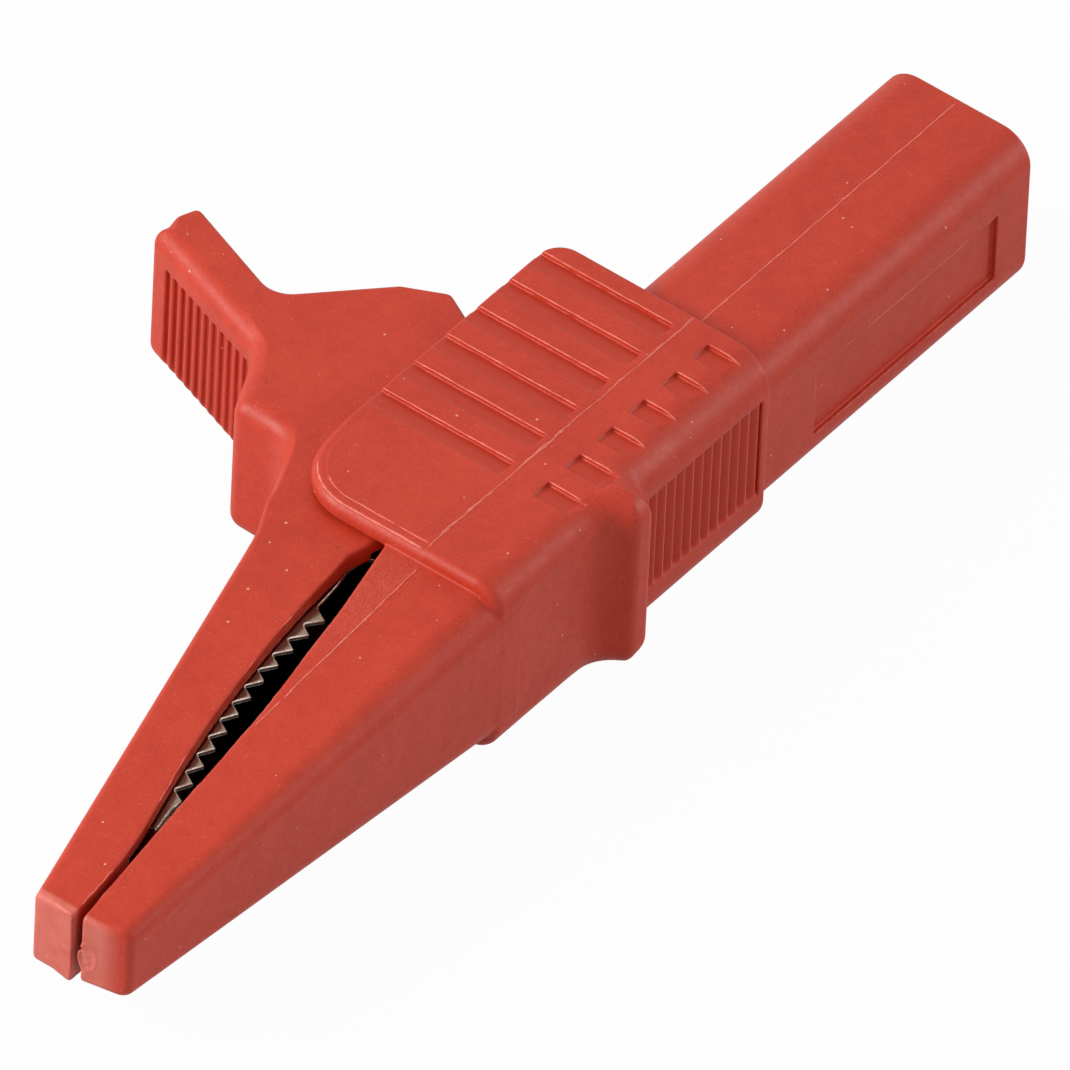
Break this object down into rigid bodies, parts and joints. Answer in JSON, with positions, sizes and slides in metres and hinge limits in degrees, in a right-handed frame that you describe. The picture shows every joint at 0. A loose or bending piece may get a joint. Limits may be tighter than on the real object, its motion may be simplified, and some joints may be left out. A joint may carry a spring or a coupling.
{
  "type": "insulated crocodile clip",
  "caption": "Insulated crocodile clip with spring-closed toothed metal jaws, a side thumb lever and a shrouded 4 mm socket in its square tail.",
  "frame": {"origin": "centre of the socket contact's mouth, on the tail's axis, 2.4 mm inside the tail's end", "axes": "+X out of the socket, so the jaws point to -X; +Y towards the thumb lever; +Z along the pivot, up as the clip lies on its lower side plate"},
  "size_m": [0.0926, 0.0406, 0.0144],
  "materials": {
    "shell_red": "satin moulded polyamide",
    "lever_red": "satin moulded polyamide",
    "sleeve_red": "satin moulded polyamide",
    "jaw_steel": "nickel-plated, tumbled",
    "rivet_steel": "zinc-plated",
    "spring_steel": "bright drawn wire",
    "contact_nickel": "nickel-plated, turned"
  },
  "bodies": {
    "body": {"body_shell": "shell_red", "fixed_jaw": "jaw_steel", "pivot_rivet": "rivet_steel", "rivet_washer": "rivet_steel", "pivot_bush": "rivet_steel", "torsion_spring": "spring_steel", "socket_contact": "contact_nickel", "socket_sleeve": "sleeve_red"},
    "lever": {"lever_shell": "lever_red", "moving_jaw": "jaw_steel"}
  },
  "joints": [
    {"name": "opening", "type": "hinge", "parent": "body", "child": "lever", "pos_m": [-0.0456, 0.0045, 0], "axis": [0, 0, -1], "range_deg": [0, 28], "stiffness_Nm_per_rad": 0.2, "springref_deg": -34.38, "deforming": ["torsion_spring"]}
  ]
}
